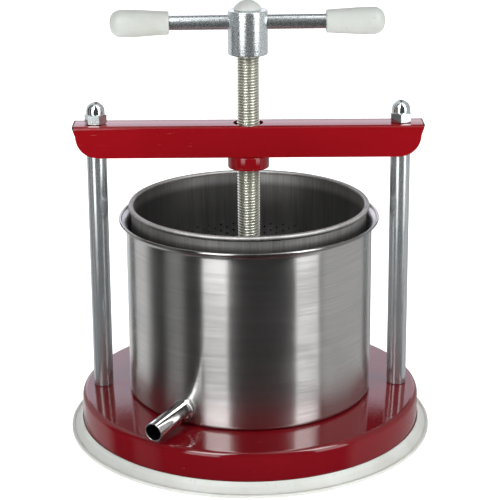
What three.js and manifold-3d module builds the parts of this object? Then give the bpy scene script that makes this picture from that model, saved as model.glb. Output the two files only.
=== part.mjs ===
// A small screw press for fruit and grapes: a stainless perforated basket stands in a stainless pot
// with a spout, on a red pan, between two columns. A screw in the crossbeam drives the press plate.
// Millimetres, +Z up, the origin is on the table at the centre of the foot ring.
import * as THREE from 'three';
import { mergeVertices } from 'three/addons/utils/BufferGeometryUtils.js';
import Module from 'manifold-3d';

const wasm = await Module();
wasm.setup();

// ---- driving dimensions ----
const GAP = 0.3; // between pieces that touch or are joined

const PAN_TOP = 35.5;
const PAN_RADIUS = 150.4;
const PAN_SHEET = 2;
const PAN_EDGE_RADIUS = 4.5;
const PAN_SKIRT_BOTTOM = 3.6;

const FOOT_RADIUS = 161;
const FOOT_INNER_RADIUS = 142;
const FOOT_TOP = 10.6;

const COLUMN_X = 132;
const COLUMN_RADIUS = 8.6;
const STUD_RADIUS = 5; // M10
const STUD_HOLE_RADIUS = 5.4;
const STUD_BELOW_PAN = 15;
const STUD_ABOVE_BEAM = 9.5;
const M10_ACROSS_FLATS = 17;
const PAN_NUT_HEIGHT = 8;
const WASHER_RADIUS = 10;
const WASHER_THICKNESS = 2;
const ACORN_HEX_HEIGHT = 8.5;
const ACORN_DOME_RADIUS = 8;
const ACORN_HEIGHT = 19;
const ACORN_TURNS = { left: -7, right: 26 }; // degrees, as each nut happened to stop

const BEAM_TOP = 277;
const BEAM_BOTTOM = 249.5;
const BEAM_WIDTH = 30.5;
const BEAM_HALF_LENGTH = 151.7;
const BEAM_SHEET = 3;
const BEAM_BEND_RADIUS = 4;
const BEAM_END_SLOPE = 3; // how far the sheared end leans in before its corner
const BEAM_CORNER_RADIUS = 19;
const BEAM_SCREW_HOLE_RADIUS = 13;

const SCREW_RADIUS = 10; // M20, 2.5 mm pitch
const SCREW_BORE_RADIUS = 10.4;
const NUT_RADIUS = 18;
const NUT_BOTTOM = 237.7;
const NUT_NECK_RADIUS = 11.9;

const HEAD_RADIUS = 17.2;
const HEAD_BOTTOM = 337.4;
const HEAD_TOP = 375.5;
const CAP_RADIUS = 11.9;
const CAP_HEIGHT = 8.4;

const BAR_Z = 365;
const BAR_RADIUS = 6.3;
const BAR_HALF_LENGTH = 112;
const BAR_YAW = THREE.MathUtils.degToRad(2);
const GRIP_START = 67;
const GRIP_END = 117.4;
const GRIP_INNER_RADIUS = 10;
const GRIP_OUTER_RADIUS = 11.9;

const POT_RADIUS = 107.8;
const POT_SHEET = 1;
const POT_BOTTOM = PAN_TOP + GAP;
const POT_TOP = 194.5;
const POT_RIM_RADIUS = 114.1;
const POT_CORNER_RADIUS = 4;

const SPOUT_AZIMUTH = THREE.MathUtils.degToRad(30.9); // from the front towards the left
const SPOUT_TILT = THREE.MathUtils.degToRad(4);
const SPOUT_Z = 50.5;
const SPOUT_RADIUS = 8;
const SPOUT_BORE_RADIUS = 7.2;
const SPOUT_LENGTH = 48;
const COLLAR_RADIUS = 9.4;

const BASKET_TOP = 206.4;
const BASKET_RIM_RADIUS = 105.7;
const BASKET_BEAD = 6; // the rolled rim's thickness
const BASKET_WALL_TOP_RADIUS = 103.2;
const BASKET_WALL_BOTTOM_RADIUS = 101.4;
const BASKET_SHEET = 1;
const BASKET_BOTTOM = POT_BOTTOM + POT_SHEET + GAP;
const BASKET_CORNER_RADIUS = 7;

const PLATE_BOTTOM = 110;
const PLATE_THICKNESS = 5;
const PLATE_RADIUS = 97;
const HUB_BOTTOM = PLATE_BOTTOM + PLATE_THICKNESS + GAP;
const HUB_HEIGHT = 16.7;
const HUB_RADIUS = 17;
const HUB_FLOOR = 4.4;
const SPINDLE_BOTTOM = HUB_BOTTOM + HUB_FLOOR + GAP;
const GROOVE_RADIUS = 7.6;
const GROOVE_BOTTOM = SPINDLE_BOTTOM + 2.5;
const GROOVE_HEIGHT = 6.4;
const HUB_GRUB_RADIUS = 2.5;

const ROUND = 36; // segments of a round piece
const SMALL_ROUND = 24; // segments of studs, nuts and small bores
const LARGE_ROUND = 60; // segments of the pan, pot, basket and plate

// ---- materials ----
const finish = (color, roughness, metalness) => new THREE.MeshStandardMaterial({ color, roughness, metalness });
const redPaint = finish(0x8f1420, 0.25, 0.1);
const zinc = finish(0xa9aeb3, 0.35, 1);
const stainless = finish(0x9a9896, 0.3, 1);
const whitePlastic = finish(0xdedfd6, 0.45, 0);

// ---- shape helpers ----
const point = (x, y) => new THREE.Vector2(x, y);

/** Points of an arc from one angle to another, in degrees. */
function arc(centreX, centreY, radius, fromDegrees, toDegrees, steps) {
  const points = [];
  for (let i = 0; i <= steps; i += 1) {
    const angle = THREE.MathUtils.degToRad(fromDegrees + ((toDegrees - fromDegrees) * i) / steps);
    points.push(point(centreX + radius * Math.cos(angle), centreY + radius * Math.sin(angle)));
  }
  return points;
}

/** A solid of revolution about Z. The outline is (radius, height), and closes on itself or on the axis. */
function turned(outline, segments = ROUND) {
  const points = THREE.ShapeUtils.area(outline) > 0 ? [...outline] : [...outline].reverse();
  if (points.every((p) => p.x > 0)) points.push(points[0].clone());
  const geometry = new THREE.LatheGeometry(points, segments);
  return geometry.rotateX(Math.PI / 2);
}

/** A turned solid whose outline starts and ends on the axis, listed from its lower to its upper end. */
function turnedOnAxis(outline, segments = ROUND) {
  return new THREE.LatheGeometry(outline, segments).rotateX(Math.PI / 2);
}

/** A plain cylinder about Z. */
function rod(radius, bottom, top, segments = ROUND) {
  return turnedOnAxis([point(0, bottom), point(radius, bottom), point(radius, top), point(0, top)], segments);
}

/** A ring about Z with a square section. */
function ring(innerRadius, outerRadius, bottom, top, segments = ROUND) {
  const corners = [[innerRadius, bottom], [outerRadius, bottom], [outerRadius, top], [innerRadius, top]];
  return turned(corners.map(([x, y]) => point(x, y)), segments);
}

/** A hexagonal bar about Z. */
function hexagon(acrossFlats, bottom, top) {
  const corners = arc(0, 0, acrossFlats / Math.sqrt(3), 0, 300, 5);
  const geometry = new THREE.ExtrudeGeometry(new THREE.Shape(corners), { depth: top - bottom, bevelEnabled: false });
  return geometry.translate(0, 0, bottom);
}

function toSolid(geometry) {
  const bare = geometry.clone();
  bare.deleteAttribute('normal');
  bare.deleteAttribute('uv');
  const merged = mergeVertices(bare, 1e-4);
  const vertProperties = new Float32Array(merged.attributes.position.array);
  const corners = merged.index.array;
  const kept = [];
  for (let i = 0; i < corners.length; i += 3) {
    const [a, b, c] = [corners[i], corners[i + 1], corners[i + 2]];
    if (a !== b && b !== c && c !== a) kept.push(a, b, c);
  }
  return new wasm.Manifold(new wasm.Mesh({ numProp: 3, vertProperties, triVerts: new Uint32Array(kept) }));
}

function toGeometry(solid) {
  const mesh = solid.getMesh();
  const geometry = new THREE.BufferGeometry();
  geometry.setAttribute('position', new THREE.BufferAttribute(new Float32Array(mesh.vertProperties), 3));
  geometry.setIndex(new THREE.BufferAttribute(new Uint32Array(mesh.triVerts), 1));
  geometry.computeVertexNormals();
  return geometry;
}

/** The first geometry with the others cut from it. */
function cut(geometry, ...tools) {
  return toGeometry(tools.reduce((solid, tool) => solid.subtract(toSolid(tool)), toSolid(geometry)));
}

const press = new THREE.Group();

function add(name, geometry, material, parent = press) {
  const mesh = new THREE.Mesh(geometry, material);
  mesh.name = name;
  parent.add(mesh);
  return mesh;
}

// ---- base ----
function basePan() {
  const inner = PAN_RADIUS - PAN_SHEET;
  const edgeCentreRadius = PAN_RADIUS - PAN_EDGE_RADIUS;
  const edgeCentreZ = PAN_TOP - PAN_EDGE_RADIUS;
  const outline = [
    point(0, PAN_TOP - PAN_SHEET),
    ...arc(edgeCentreRadius, edgeCentreZ, PAN_EDGE_RADIUS - PAN_SHEET, 90, 0, 3),
    point(inner, PAN_SKIRT_BOTTOM),
    point(PAN_RADIUS, PAN_SKIRT_BOTTOM),
    ...arc(edgeCentreRadius, edgeCentreZ, PAN_EDGE_RADIUS, 0, 90, 5),
    point(0, PAN_TOP),
  ];
  const holes = [-1, 1].map((side) => rod(STUD_HOLE_RADIUS, PAN_TOP - 5, PAN_TOP + 1).translate(side * COLUMN_X, 0, 0));
  return cut(turnedOnAxis(outline, LARGE_ROUND), ...holes);
}

function footRing() {
  const slotOuter = PAN_RADIUS + GAP;
  const slotInner = PAN_RADIUS - PAN_SHEET - GAP;
  const slotBottom = PAN_SKIRT_BOTTOM - GAP;
  const lipTop = 3.2;
  return turned([
    point(FOOT_INNER_RADIUS, 0),
    point(FOOT_RADIUS - 0.9, 0),
    point(FOOT_RADIUS, 0.9),
    point(FOOT_RADIUS, lipTop - 0.9),
    point(FOOT_RADIUS - 1, lipTop),
    point(FOOT_RADIUS - 3, lipTop), // the groove between lip and flare
    point(FOOT_RADIUS - 4.2, lipTop + 1),
    point(FOOT_RADIUS - 7.5, FOOT_TOP - 3.7),
    point(slotOuter + 0.6, FOOT_TOP),
    point(slotOuter, FOOT_TOP),
    point(slotOuter, slotBottom),
    point(slotInner, slotBottom),
    point(slotInner, FOOT_TOP - 1),
    point(FOOT_INNER_RADIUS, FOOT_TOP - 1),
  ], LARGE_ROUND);
}

// ---- columns and their fasteners ----
function column() {
  const bottom = PAN_TOP + GAP;
  const top = BEAM_TOP - BEAM_SHEET - GAP;
  const chamfer = 0.6;
  return turnedOnAxis([
    point(0, bottom - STUD_BELOW_PAN),
    point(STUD_RADIUS - chamfer, bottom - STUD_BELOW_PAN),
    point(STUD_RADIUS, bottom - STUD_BELOW_PAN + chamfer),
    point(STUD_RADIUS, bottom),
    point(COLUMN_RADIUS, bottom),
    point(COLUMN_RADIUS, top),
    point(STUD_RADIUS, top),
    point(STUD_RADIUS, BEAM_TOP + STUD_ABOVE_BEAM - chamfer),
    point(STUD_RADIUS - chamfer, BEAM_TOP + STUD_ABOVE_BEAM),
    point(0, BEAM_TOP + STUD_ABOVE_BEAM),
  ], SMALL_ROUND);
}

function acornNut(turn) {
  const bottom = BEAM_TOP + GAP;
  const hexTop = bottom + ACORN_HEX_HEIGHT;
  const domeCentre = bottom + ACORN_HEIGHT - ACORN_DOME_RADIUS;
  const dome = turnedOnAxis([
    point(0, bottom + 1),
    point(ACORN_DOME_RADIUS, bottom + 1),
    ...arc(0, domeCentre, ACORN_DOME_RADIUS, 0, 75, 5),
    point(0, bottom + ACORN_HEIGHT),
  ], SMALL_ROUND);
  const hex = hexagon(M10_ACROSS_FLATS, bottom, hexTop).rotateZ(THREE.MathUtils.degToRad(turn));
  const nut = toSolid(hex).add(toSolid(dome));
  const bore = rod(STUD_HOLE_RADIUS, bottom - 1, BEAM_TOP + STUD_ABOVE_BEAM + GAP, SMALL_ROUND);
  return toGeometry(nut.subtract(toSolid(bore)));
}

function panNut() {
  const top = PAN_TOP - PAN_SHEET - WASHER_THICKNESS - 2 * GAP;
  const bottom = top - PAN_NUT_HEIGHT;
  return cut(hexagon(M10_ACROSS_FLATS, bottom, top), rod(STUD_HOLE_RADIUS, bottom - 1, top + 1, SMALL_ROUND));
}

function panWasher() {
  const top = PAN_TOP - PAN_SHEET - GAP;
  return ring(STUD_HOLE_RADIUS, WASHER_RADIUS, top - WASHER_THICKNESS, top, SMALL_ROUND);
}

// ---- crossbeam and screw nut ----
function crossbeam() {
  const half = BEAM_WIDTH / 2;
  const outer = new THREE.Shape([
    point(-half, BEAM_BOTTOM),
    ...arc(-half + BEAM_BEND_RADIUS, BEAM_TOP - BEAM_BEND_RADIUS, BEAM_BEND_RADIUS, 180, 90, 4),
    ...arc(half - BEAM_BEND_RADIUS, BEAM_TOP - BEAM_BEND_RADIUS, BEAM_BEND_RADIUS, 90, 0, 4),
    point(half, BEAM_BOTTOM),
    point(half - BEAM_SHEET, BEAM_BOTTOM),
    ...arc(half - BEAM_BEND_RADIUS, BEAM_TOP - BEAM_BEND_RADIUS, BEAM_BEND_RADIUS - BEAM_SHEET, 0, 90, 1),
    ...arc(-half + BEAM_BEND_RADIUS, BEAM_TOP - BEAM_BEND_RADIUS, BEAM_BEND_RADIUS - BEAM_SHEET, 90, 180, 1),
    point(-half + BEAM_SHEET, BEAM_BOTTOM),
  ]);
  const section = new THREE.ExtrudeGeometry(outer, { depth: 2 * BEAM_HALF_LENGTH, bevelEnabled: false });
  // the section's plane becomes YZ, and it runs along X
  section.rotateX(Math.PI / 2).rotateZ(Math.PI / 2).translate(-BEAM_HALF_LENGTH, 0, 0);

  const cornerX = BEAM_HALF_LENGTH - BEAM_END_SLOPE - BEAM_CORNER_RADIUS;
  const cornerZ = BEAM_BOTTOM + BEAM_CORNER_RADIUS;
  const side = new THREE.Shape([
    point(-BEAM_HALF_LENGTH, BEAM_TOP + 1),
    point(-BEAM_HALF_LENGTH, BEAM_TOP),
    ...arc(-cornerX, cornerZ, BEAM_CORNER_RADIUS, 180, 270, 8),
    ...arc(cornerX, cornerZ, BEAM_CORNER_RADIUS, 270, 360, 8),
    point(BEAM_HALF_LENGTH, BEAM_TOP),
    point(BEAM_HALF_LENGTH, BEAM_TOP + 1),
  ]);
  const outline = new THREE.ExtrudeGeometry(side, { depth: 2 * BEAM_WIDTH, bevelEnabled: false });
  outline.rotateX(Math.PI / 2).translate(0, BEAM_WIDTH, 0);

  const holes = [-1, 1].map((end) => (
    rod(STUD_HOLE_RADIUS, BEAM_TOP - 6, BEAM_TOP + 1, SMALL_ROUND).translate(end * COLUMN_X, 0, 0)
  ));
  const screwHole = rod(BEAM_SCREW_HOLE_RADIUS, BEAM_TOP - 6, BEAM_TOP + 1);
  const blank = toSolid(section).intersect(toSolid(outline));
  return toGeometry([...holes, screwHole].reduce((solid, hole) => solid.subtract(toSolid(hole)), blank));
}

function beamNut() {
  const flangeTop = BEAM_BOTTOM - GAP;
  const neckTop = BEAM_TOP - BEAM_SHEET - GAP;
  return turned([
    point(SCREW_BORE_RADIUS, NUT_BOTTOM),
    point(NUT_RADIUS - 0.8, NUT_BOTTOM),
    point(NUT_RADIUS, NUT_BOTTOM + 0.8),
    point(NUT_RADIUS, flangeTop),
    point(NUT_NECK_RADIUS, flangeTop),
    point(NUT_NECK_RADIUS, neckTop),
    point(SCREW_BORE_RADIUS, neckTop),
  ]);
}

// ---- screw, head and handle ----
const SPINDLE_TOP = BAR_Z - BAR_RADIUS - 3;

function spindle() {
  const chamfer = 1.2;
  return turnedOnAxis([
    point(0, SPINDLE_BOTTOM),
    point(SCREW_RADIUS - chamfer, SPINDLE_BOTTOM),
    point(SCREW_RADIUS, SPINDLE_BOTTOM + chamfer),
    point(SCREW_RADIUS, GROOVE_BOTTOM),
    point(GROOVE_RADIUS, GROOVE_BOTTOM),
    point(GROOVE_RADIUS, GROOVE_BOTTOM + GROOVE_HEIGHT),
    point(SCREW_RADIUS, GROOVE_BOTTOM + GROOVE_HEIGHT),
    point(SCREW_RADIUS, SPINDLE_TOP),
    point(0, SPINDLE_TOP),
  ]);
}

function headBoss() {
  const edge = 0.8;
  const body = turnedOnAxis([
    point(0, HEAD_BOTTOM),
    point(HEAD_RADIUS - edge, HEAD_BOTTOM),
    point(HEAD_RADIUS, HEAD_BOTTOM + edge),
    point(HEAD_RADIUS, HEAD_TOP - edge),
    point(HEAD_RADIUS - edge, HEAD_TOP),
    point(0, HEAD_TOP),
  ]);
  const screwBore = rod(SCREW_BORE_RADIUS, HEAD_BOTTOM - 1, SPINDLE_TOP + GAP);
  const barBore = rod(BAR_RADIUS + GAP, -HEAD_RADIUS - 2, HEAD_RADIUS + 2, SMALL_ROUND);
  barBore.rotateY(Math.PI / 2).rotateZ(BAR_YAW).translate(0, 0, BAR_Z);
  const grubBore = rod(4 + GAP, BAR_Z + 2, HEAD_TOP + 1, SMALL_ROUND);
  return cut(body, screwBore, barBore, grubBore);
}

function barGrubScrew() {
  const bottom = BAR_Z + BAR_RADIUS + GAP;
  const top = HEAD_TOP - 0.5;
  return cut(rod(4, bottom, top, SMALL_ROUND), hexagon(4, top - 2, top + 1));
}

function headCap() {
  const bottom = HEAD_TOP + GAP;
  // a flat dome: part of a large sphere with a short upright edge
  const edge = 1.5;
  const rise = CAP_HEIGHT - edge;
  const sphere = (CAP_RADIUS ** 2 + rise ** 2) / (2 * rise);
  const startDegrees = THREE.MathUtils.radToDeg(Math.acos(CAP_RADIUS / sphere));
  return turnedOnAxis([
    point(0, bottom),
    point(CAP_RADIUS, bottom),
    ...arc(0, bottom + CAP_HEIGHT - sphere, sphere, startDegrees, 84, 6),
    point(0, bottom + CAP_HEIGHT),
  ], SMALL_ROUND);
}

function bar() {
  const chamfer = 1;
  return turnedOnAxis([
    point(0, -BAR_HALF_LENGTH),
    point(BAR_RADIUS - chamfer, -BAR_HALF_LENGTH),
    point(BAR_RADIUS, chamfer - BAR_HALF_LENGTH),
    point(BAR_RADIUS, BAR_HALF_LENGTH - chamfer),
    point(BAR_RADIUS - chamfer, BAR_HALF_LENGTH),
    point(0, BAR_HALF_LENGTH),
  ], SMALL_ROUND);
}

/** A grip about Z with its mouth at the inner end. */
function grip() {
  const bore = BAR_RADIUS + GAP;
  const boreEnd = BAR_HALF_LENGTH + GAP;
  const domeStart = GRIP_END - 5;
  return turnedOnAxis([
    point(0, boreEnd),
    point(bore, boreEnd),
    point(bore, GRIP_START),
    point(GRIP_INNER_RADIUS - 1, GRIP_START),
    point(GRIP_INNER_RADIUS, GRIP_START + 1),
    point(GRIP_OUTER_RADIUS - 0.3, domeStart - 9),
    point(GRIP_OUTER_RADIUS, domeStart - 3),
    point(GRIP_OUTER_RADIUS - 0.3, domeStart),
    point(GRIP_OUTER_RADIUS - 2.4, domeStart + 3),
    point(GRIP_OUTER_RADIUS - 6, GRIP_END - 0.6),
    point(0, GRIP_END),
  ], SMALL_ROUND);
}

// ---- press plate ----
function pressPlate() {
  const top = PLATE_BOTTOM + PLATE_THICKNESS;
  const edge = 1;
  return turnedOnAxis([
    point(0, PLATE_BOTTOM),
    point(PLATE_RADIUS - edge, PLATE_BOTTOM),
    point(PLATE_RADIUS, PLATE_BOTTOM + edge),
    point(PLATE_RADIUS, top - edge),
    point(PLATE_RADIUS - edge, top),
    point(0, top),
  ], LARGE_ROUND);
}

const GRUB_Z = GROOVE_BOTTOM + GROOVE_HEIGHT / 2;

function plateHub() {
  const top = HUB_BOTTOM + HUB_HEIGHT;
  const edge = 1;
  const body = turnedOnAxis([
    point(0, HUB_BOTTOM),
    point(HUB_RADIUS, HUB_BOTTOM),
    point(HUB_RADIUS, top - edge),
    point(HUB_RADIUS - edge, top),
    point(0, top),
  ]);
  const socket = rod(SCREW_BORE_RADIUS, HUB_BOTTOM + HUB_FLOOR, top + 1);
  const grubHole = rod(HUB_GRUB_RADIUS + GAP, 0, HUB_RADIUS + 2, SMALL_ROUND).rotateY(Math.PI / 2).translate(0, 0, GRUB_Z);
  return cut(body, socket, grubHole);
}

function hubGrubScrew() {
  const nose = GROOVE_RADIUS + 0.5;
  const socket = hexagon(2.5, HUB_RADIUS - 2.5, HUB_RADIUS + 1);
  const screw = cut(rod(HUB_GRUB_RADIUS, nose, HUB_RADIUS - 0.3, SMALL_ROUND), socket);
  return screw.rotateY(Math.PI / 2).translate(0, 0, GRUB_Z);
}

// ---- pot and spout ----
/** Moves a solid along Z to run out of the spout's place on the pot's wall. */
function alongSpout(geometry) {
  geometry.rotateX(Math.PI / 2 + SPOUT_TILT);
  geometry.translate(0, -POT_RADIUS, SPOUT_Z);
  return geometry.rotateZ(-SPOUT_AZIMUTH);
}

function potShell() {
  const inner = POT_RADIUS - POT_SHEET;
  const cornerRadius = POT_RADIUS - POT_CORNER_RADIUS;
  const cornerZ = POT_BOTTOM + POT_CORNER_RADIUS;
  const flareBottom = POT_TOP - 6;
  const outline = [
    point(0, POT_BOTTOM),
    ...arc(cornerRadius, cornerZ, POT_CORNER_RADIUS, 270, 360, 4),
    point(POT_RADIUS, flareBottom),
    point(POT_RIM_RADIUS, POT_TOP - 3.4),
    point(POT_RIM_RADIUS, POT_TOP),
    point(POT_RIM_RADIUS - 2, POT_TOP),
    point(inner, flareBottom + 1),
    ...arc(cornerRadius, cornerZ, POT_CORNER_RADIUS - POT_SHEET, 360, 270, 3),
    point(0, POT_BOTTOM + POT_SHEET),
  ];
  const hole = alongSpout(rod(SPOUT_RADIUS + GAP, -6, 6, SMALL_ROUND));
  return cut(turnedOnAxis(outline, LARGE_ROUND), hole);
}

function spoutTube() {
  return alongSpout(ring(SPOUT_BORE_RADIUS, SPOUT_RADIUS, -2, SPOUT_LENGTH, SMALL_ROUND));
}

function spoutCollar() {
  return alongSpout(ring(SPOUT_RADIUS + GAP, COLLAR_RADIUS, 1.3, 3.2, SMALL_ROUND));
}

// ---- basket ----
function basket() {
  const bead = BASKET_BEAD / 2;
  const beadCentre = BASKET_RIM_RADIUS - bead;
  const cornerRadius = BASKET_WALL_BOTTOM_RADIUS - BASKET_CORNER_RADIUS;
  const cornerZ = BASKET_BOTTOM + BASKET_CORNER_RADIUS;
  return turnedOnAxis([
    point(0, BASKET_BOTTOM),
    ...arc(cornerRadius, cornerZ, BASKET_CORNER_RADIUS, 270, 360, 4),
    point(BASKET_WALL_TOP_RADIUS, BASKET_TOP - BASKET_BEAD + 0.5),
    ...arc(beadCentre, BASKET_TOP - bead, bead, -50, 170, 8),
    point(BASKET_WALL_TOP_RADIUS - BASKET_SHEET, BASKET_TOP - BASKET_BEAD),
    ...arc(cornerRadius, cornerZ, BASKET_CORNER_RADIUS - BASKET_SHEET, 360, 270, 4),
    point(0, BASKET_BOTTOM + BASKET_SHEET),
  ], LARGE_ROUND);
}

// ---- the whole press ----
add('base_pan', basePan(), redPaint);
add('foot_ring', footRing(), whitePlastic);
for (const [side, x] of [['left', -COLUMN_X], ['right', COLUMN_X]]) {
  const post = new THREE.Group();
  post.position.x = x;
  press.add(post);
  add(`column_${side}`, column(), zinc, post);
  add(`pan_washer_${side}`, panWasher(), zinc, post);
  add(`pan_nut_${side}`, panNut(), zinc, post);
  add(`acorn_nut_${side}`, acornNut(ACORN_TURNS[side]), zinc, post);
}
add('crossbeam', crossbeam(), redPaint);
add('beam_nut', beamNut(), redPaint);

add('spindle', spindle(), zinc);
add('head_boss', headBoss(), zinc);
add('head_cap', headCap(), whitePlastic);
add('bar_grub_screw', barGrubScrew(), zinc);
const handle = new THREE.Group();
handle.position.z = BAR_Z;
handle.rotation.z = BAR_YAW;
press.add(handle);
add('t_bar', bar().rotateY(Math.PI / 2), zinc, handle);
add('grip_right', grip().rotateY(Math.PI / 2), whitePlastic, handle);
add('grip_left', grip().rotateY(-Math.PI / 2), whitePlastic, handle);

add('press_plate', pressPlate(), stainless);
add('plate_hub', plateHub(), stainless);
add('hub_grub_screw', hubGrubScrew(), zinc);

add('pot_shell', potShell(), stainless);
add('spout_tube', spoutTube(), stainless);
add('spout_collar', spoutCollar(), stainless);
add('basket', basket(), stainless);

export default press;
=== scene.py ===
"""The looks of a small screw press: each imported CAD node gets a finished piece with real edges, threads,
perforations and a procedural material. Shapes are made in millimetres about the object's own axes."""
import math

import bmesh
import bpy
from mathutils import Matrix, Vector


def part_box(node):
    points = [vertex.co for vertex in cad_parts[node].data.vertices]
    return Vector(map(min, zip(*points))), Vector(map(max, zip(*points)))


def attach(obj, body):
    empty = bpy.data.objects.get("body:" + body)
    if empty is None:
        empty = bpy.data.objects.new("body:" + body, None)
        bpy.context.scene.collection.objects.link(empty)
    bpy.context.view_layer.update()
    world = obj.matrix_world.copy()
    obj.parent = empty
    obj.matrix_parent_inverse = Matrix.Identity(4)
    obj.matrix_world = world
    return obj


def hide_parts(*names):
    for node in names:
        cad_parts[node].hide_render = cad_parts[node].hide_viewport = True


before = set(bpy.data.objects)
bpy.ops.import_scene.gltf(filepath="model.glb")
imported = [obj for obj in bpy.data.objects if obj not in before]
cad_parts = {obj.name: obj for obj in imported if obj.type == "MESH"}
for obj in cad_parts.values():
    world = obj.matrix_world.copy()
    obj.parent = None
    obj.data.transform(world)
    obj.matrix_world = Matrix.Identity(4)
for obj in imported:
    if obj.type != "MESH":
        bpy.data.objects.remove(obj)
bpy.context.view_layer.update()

FINE = 256  # segments round the pan, pot and plate
MEDIUM = 96  # segments round the columns, head and hub
THREAD_SEGMENTS = 48
HEX_SEGMENTS = 72

PAN_SHEET = 2.0
PAN_EDGE_RADIUS = 4.5
BEAM_SHEET = 3.0
BEAM_BEND_RADIUS = 4.0
BEAM_END_SLOPE = 3.0
BEAM_CORNER_RADIUS = 19.0
BEAM_SCREW_HOLE = 13.0
STUD_HOLE = 5.4
STUD_RADIUS = 5.0
STUD_PITCH = 1.5
SCREW_PITCH = 2.5
THREAD_DEPTH = 0.61  # share of the pitch
# places along one pitch, with how deep the surface is there
THREAD_PROFILE = [
    (0.0, 0.04), (0.0625, 0.0), (0.125, 0.04), (0.28, 0.5),
    (0.44, 0.96), (0.56, 1.0), (0.69, 0.96), (0.84, 0.5),
]
SCREW_BORE = 10.4
BAR_YAW = math.radians(2)
SPOUT_TILT = math.radians(4)
SPOUT_RADIUS = 8.0
SPOUT_BORE = 7.2
SPOUT_HALF_LENGTH = 25.0
SPOUT_WELD_PLACE = 4.2  # from the tube's inner end
M10_ACROSS_FLATS = 17.0
CAP_NUT_TURNS = {"left": math.radians(-7), "right": math.radians(26)}
FIT_GAP = 0.3  # between a piece and the hole or slot that it sits in
FOOT_RING_WIDTH = 19.0
CAP_NUT_HEXAGON = 8.5  # the height of its six flats
CAP_NUT_DOME = 7.95
SPINDLE_GROOVE = 7.6
HEAD_GRUB_BORE = 4.3
SHEET = 1.0  # the pot's and the basket's steel
POT_CORNER_RADIUS = 4.0
POT_FLARE_HEIGHT = 8.0
POT_LIP_RADIUS = 1.3
POT_LIP_REACH = 6.3  # from the wall to the edge of the lip
BASKET_BEAD_RADIUS = 2.3
BASKET_CORNER_RADIUS = 7.0
BASKET_WALL_INSET = 2.5  # from the edge of the rim to the wall
BASKET_TAPER = 1.8  # how much narrower the wall is at its foot
HOLE_COLUMNS = 108
HOLE_STEP = 6.0
HOLE_RADIUS = 1.05
HOLES_BELOW_RIM = 49.0


# ---- shapes, in millimetres ----
def extent(node):
    """The lowest and highest corner of a CAD node in millimetres."""
    low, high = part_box(node)
    return low * 1000, high * 1000


def arc(centre, radius, start, end, steps):
    """Points of an arc in the radius and height plane, from one angle to another in degrees."""
    points = []
    for i in range(steps + 1):
        angle = math.radians(start + (end - start) * i / steps)
        points.append((centre[0] + radius * math.cos(angle), centre[1] + radius * math.sin(angle)))
    return points


def softened(outline, radius, steps=3, closed=False):
    """The outline with its corners rounded off."""
    rounded = []
    for i, point in enumerate(outline):
        if not closed and i in (0, len(outline) - 1):
            rounded.append(point)
            continue
        corner = Vector(point)
        before = Vector(outline[i - 1]) - corner
        after = Vector(outline[(i + 1) % len(outline)]) - corner
        reach = min(radius, before.length * 0.45, after.length * 0.45)
        start = corner + before.normalized() * reach
        end = corner + after.normalized() * reach
        for k in range(steps + 1):
            t = k / steps
            spot = start * (1 - t) ** 2 + corner * 2 * t * (1 - t) + end * t ** 2
            rounded.append((spot.x, spot.y))
    return rounded


def loop_about_z(mesh, ring, segments):
    """One loop of points. A ring is (radius, height), or a function of the angle that gives them."""
    if not callable(ring) and ring[0] == 0:
        return [mesh.verts.new((0, 0, ring[1]))]
    loop = []
    for i in range(segments):
        angle = 2 * math.pi * i / segments
        radius, height = ring(angle) if callable(ring) else ring
        loop.append(mesh.verts.new((radius * math.cos(angle), radius * math.sin(angle), height)))
    return loop


def add_face(mesh, corners):
    """A face through the corners that differ, where there are at least three."""
    different = list(dict.fromkeys(corners))
    if len(different) > 2:
        mesh.faces.new(different)


def revolve(mesh, rings, segments, closed=False):
    """Adds a turned surface. A ring at radius 0 is one point on the axis."""
    loops = [loop_about_z(mesh, ring, segments) for ring in rings]
    pairs = list(zip(loops, loops[1:]))
    if closed:
        pairs.append((loops[-1], loops[0]))
    for lower, upper in pairs:
        for i in range(segments):
            j = (i + 1) % segments
            near, far = lower[i % len(lower)], lower[j % len(lower)]
            add_face(mesh, [near, far, upper[j % len(upper)], upper[i % len(upper)]])
    return mesh


def turned(rings, segments=MEDIUM, closed=False):
    return revolve(bmesh.new(), rings, segments, closed)


def weld(mesh, distance=0.002):
    bmesh.ops.remove_doubles(mesh, verts=mesh.verts, dist=distance)
    return mesh


def thread(mesh, radius, pitch, bottom, top, segments=THREAD_SEGMENTS):
    """Adds a right-hand thread whose two ends run out to its core. Returns the core's radius."""
    depth = THREAD_DEPTH * pitch
    core = radius - depth
    turns = math.ceil((top - bottom) / pitch) + 2
    rows = turns * len(THREAD_PROFILE)
    grid = []
    for i in range(segments + 1):
        angle = 2 * math.pi * i / segments
        column = []
        for j in range(rows):
            turn, step = divmod(j, len(THREAD_PROFILE))
            along, drop = THREAD_PROFILE[step]
            height = bottom + pitch * (turn + along + i / segments - 1)
            height = min(max(height, bottom), top)
            run_out = core + min(height - bottom, top - height)
            across = min(radius - depth * drop, run_out)
            column.append(mesh.verts.new((across * math.cos(angle), across * math.sin(angle), height)))
        grid.append(column)
    for left, right in zip(grid, grid[1:]):
        for j in range(rows - 1):
            mesh.faces.new([left[j], right[j], right[j + 1], left[j + 1]])
    return core


def moved(mesh, matrix):
    bmesh.ops.transform(mesh, matrix=matrix, verts=mesh.verts)
    return mesh


def at(x, y, z=0.0):
    return Matrix.Translation((x, y, z))


def temporary(mesh):
    bmesh.ops.recalc_face_normals(mesh, faces=mesh.faces)
    data = bpy.data.meshes.new("temporary")
    mesh.to_mesh(data)
    mesh.free()
    thing = bpy.data.objects.new("temporary", data)
    bpy.context.scene.collection.objects.link(thing)
    return thing


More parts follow.
